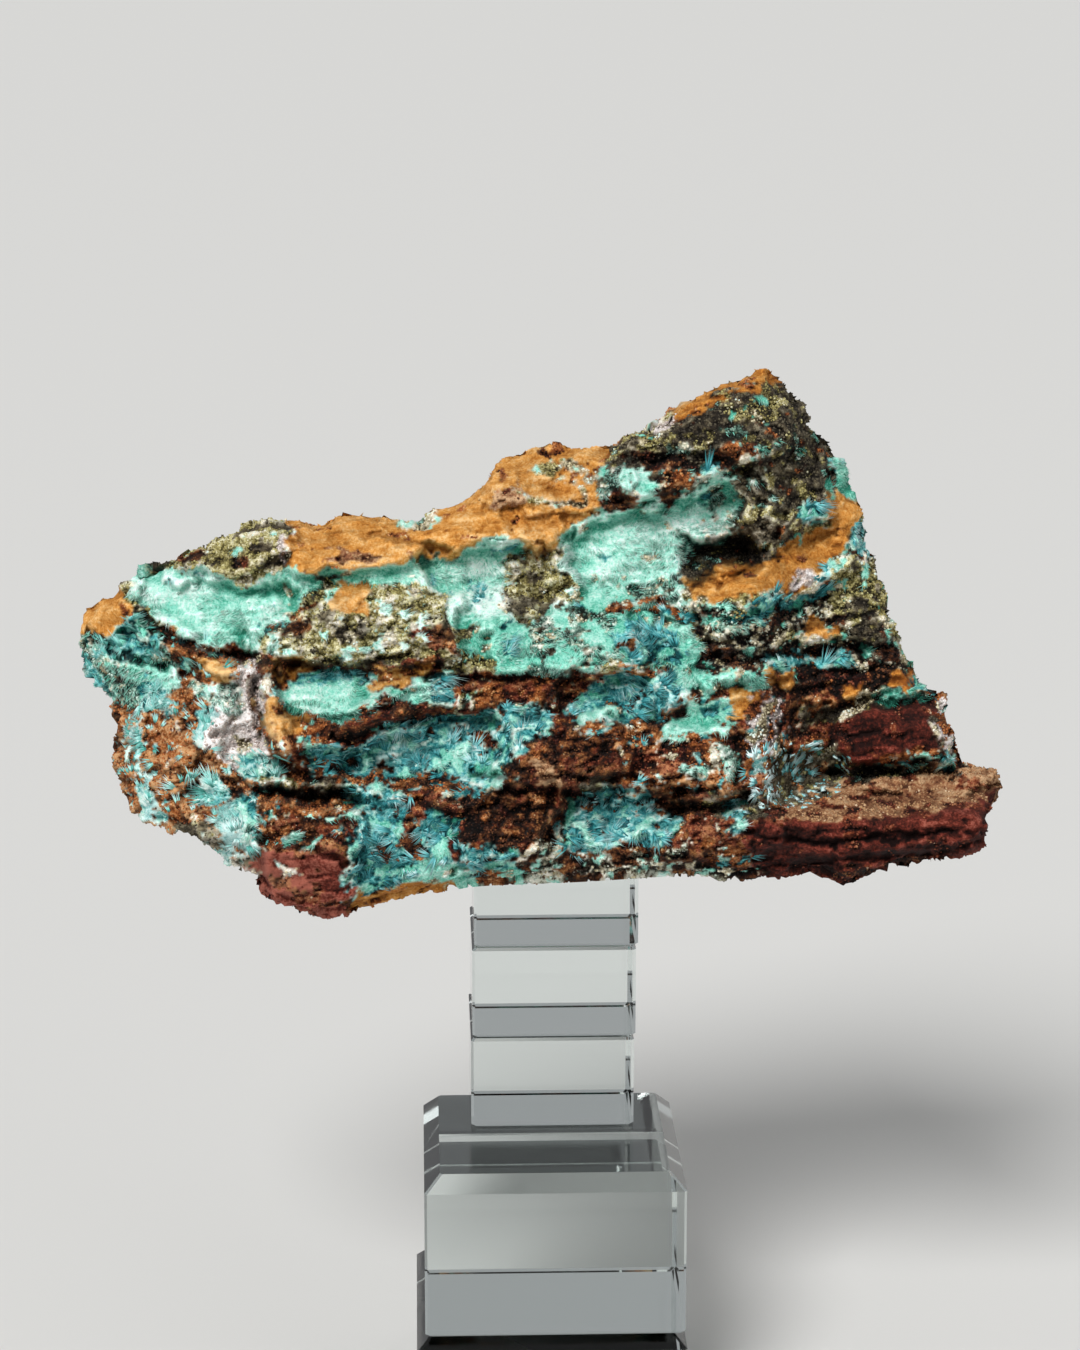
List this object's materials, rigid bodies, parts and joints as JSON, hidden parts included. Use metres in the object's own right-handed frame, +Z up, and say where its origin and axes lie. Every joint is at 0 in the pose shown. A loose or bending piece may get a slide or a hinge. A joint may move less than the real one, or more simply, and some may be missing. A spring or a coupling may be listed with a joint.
{
  "type": "aurichalcite specimen on a stand",
  "caption": "Rough layered ironstone with blue-green aurichalcite crusts in its hollows, resting on a narrow stack of clear acrylic blocks.",
  "frame": {"origin": "middle of the underside of the lowest block, where the stand meets the table", "axes": "+Z up; +X to the viewer's right; the showy face of the rock looks along -Y"},
  "size_m": [0.1777, 0.075, 0.2017],
  "materials": {
    "clear_acrylic": "polished, clear",
    "ironstone": "rough broken rock, ochre to red-brown",
    "aurichalcite": "silky needle crust, blue-green"
  },
  "bodies": {
    "root": {"plinth_block": "clear_acrylic", "base_block": "clear_acrylic", "post_block_lower": "clear_acrylic", "post_block_middle": "clear_acrylic", "post_block_upper": "clear_acrylic", "rock": "ironstone", "aurichalcite_left_hollow": "aurichalcite", "aurichalcite_left_end": "aurichalcite", "aurichalcite_bowl": "aurichalcite", "aurichalcite_fan_pocket": "aurichalcite", "aurichalcite_blue_slope": "aurichalcite", "aurichalcite_middle_hollow": "aurichalcite", "aurichalcite_right_hollow": "aurichalcite", "aurichalcite_green_mound": "aurichalcite", "aurichalcite_shelf_fan": "aurichalcite", "aurichalcite_lower_pocket": "aurichalcite", "aurichalcite_right_notch": "aurichalcite", "aurichalcite_back_upper": "aurichalcite", "aurichalcite_back_lower": "aurichalcite"}
  },
  "joints": []
}
